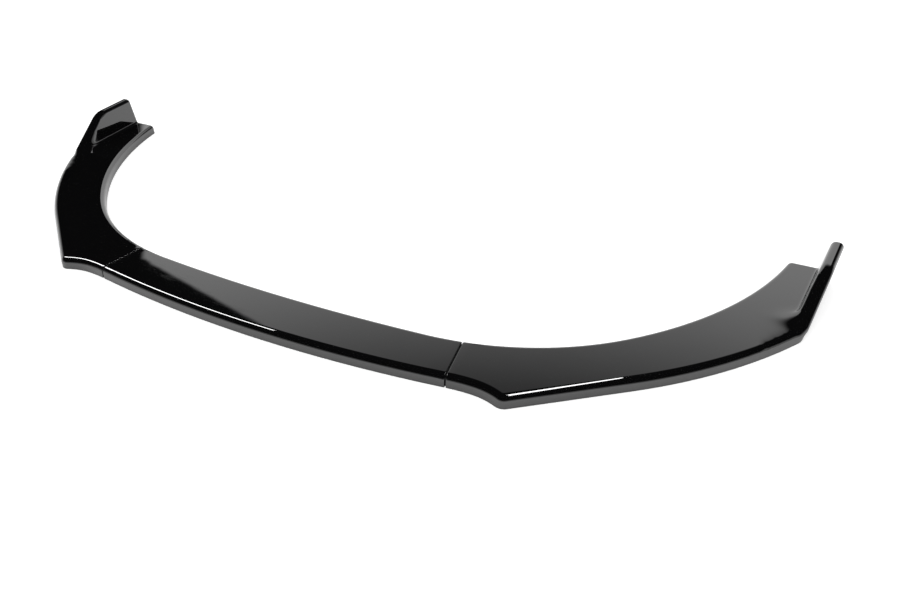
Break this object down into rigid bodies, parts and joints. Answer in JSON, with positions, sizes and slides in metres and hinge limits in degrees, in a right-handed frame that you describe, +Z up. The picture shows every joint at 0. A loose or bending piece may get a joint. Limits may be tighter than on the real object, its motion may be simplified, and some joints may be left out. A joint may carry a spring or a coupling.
{
  "type": "front splitter lip",
  "caption": "Gloss black front bumper splitter lip: a bowed centre section and two swept wings with upright end fins, bolted together at the seams.",
  "frame": {"origin": "middle of the lip's box, at the level of its bottom rim", "axes": "+X across the car towards the wing on the right of the picture, +Y rearwards, +Z up"},
  "size_m": [1.7152, 0.594, 0.0825],
  "materials": {
    "lip_plastic": "high gloss",
    "fastener_steel": "zinc plated"
  },
  "bodies": {
    "root": {"centre_section": "lip_plastic", "left_wing": "lip_plastic", "right_wing": "lip_plastic", "left_front_bolt": "fastener_steel", "left_front_head_washer": "fastener_steel", "left_front_nut_washer": "fastener_steel", "left_front_nut": "fastener_steel", "left_rear_bolt": "fastener_steel", "left_rear_head_washer": "fastener_steel", "left_rear_nut_washer": "fastener_steel", "left_rear_nut": "fastener_steel", "right_front_bolt": "fastener_steel", "right_front_head_washer": "fastener_steel", "right_front_nut_washer": "fastener_steel", "right_front_nut": "fastener_steel", "right_rear_bolt": "fastener_steel", "right_rear_head_washer": "fastener_steel", "right_rear_nut_washer": "fastener_steel", "right_rear_nut": "fastener_steel"}
  },
  "joints": []
}
